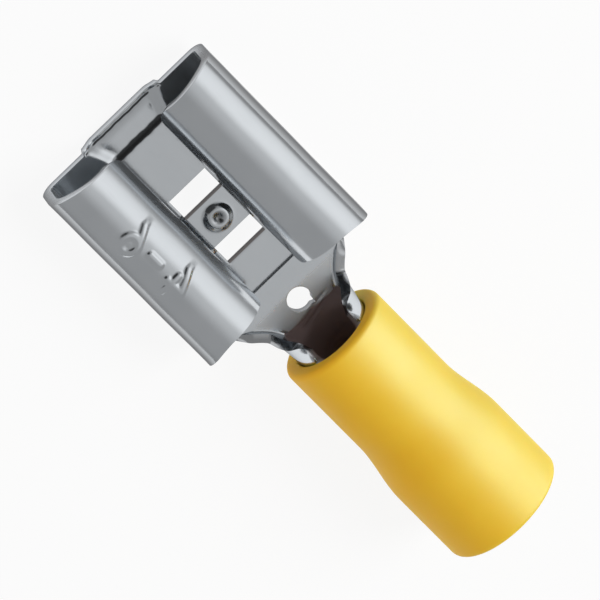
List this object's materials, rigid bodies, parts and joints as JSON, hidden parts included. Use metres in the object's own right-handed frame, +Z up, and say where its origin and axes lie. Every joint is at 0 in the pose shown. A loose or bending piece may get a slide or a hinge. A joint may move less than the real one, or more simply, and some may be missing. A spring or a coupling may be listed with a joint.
{
  "type": "female spade terminal",
  "caption": "Insulated female spade terminal: a folded sheet receptacle with rolled edges for a flat tab, a wire barrel and a flared vinyl sleeve.",
  "frame": {"origin": "middle of the part's length and width, at the lowest point of the sleeve's wire end", "axes": "+X along the terminal from the tab mouth towards the wire, +Y across the tab, +Z up from the floor towards the rolled edges"},
  "size_m": [0.0288, 0.011, 0.0069],
  "materials": {
    "tin_plate": "bright tin plating on brass sheet, satin gloss with soft rolling marks",
    "yellow_vinyl": "soft satin gloss vinyl"
  },
  "bodies": {
    "root": {"terminal": "tin_plate", "sleeve": "yellow_vinyl"}
  },
  "joints": []
}
